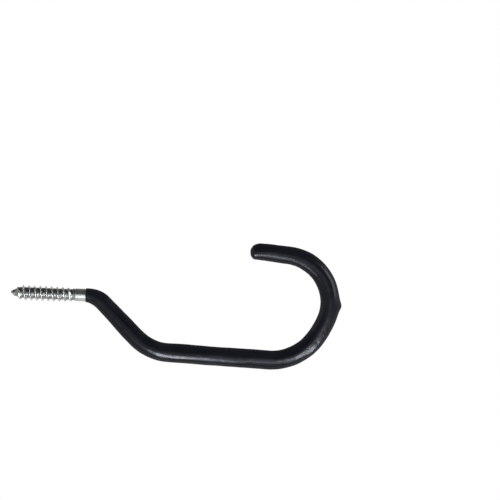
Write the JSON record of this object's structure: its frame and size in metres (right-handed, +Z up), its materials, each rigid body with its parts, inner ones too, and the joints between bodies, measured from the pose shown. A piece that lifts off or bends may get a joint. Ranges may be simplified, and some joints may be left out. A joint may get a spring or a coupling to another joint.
{
  "type": "screw-in utility hook",
  "caption": "Screw-in storage hook: a bent steel rod with a wood-screw thread and a black dip-coated round hook.",
  "frame": {"origin": "on the screw's axis at the coating's lip, where the wall's face comes when the screw is driven home", "axes": "+X along the screw's axis away from the wall, towards the curl, -X towards the screw's point; +Z up, with the curl's opening upwards; Y square to the plane of the hook"},
  "size_m": [0.1642, 0.0094, 0.0632],
  "materials": {
    "zinc_plated_steel": "bright zinc plate over a rolled thread",
    "black_vinyl": "dip-coated, semi-gloss black"
  },
  "bodies": {
    "root": {"steel_rod": "zinc_plated_steel", "vinyl_coating": "black_vinyl"}
  },
  "joints": []
}
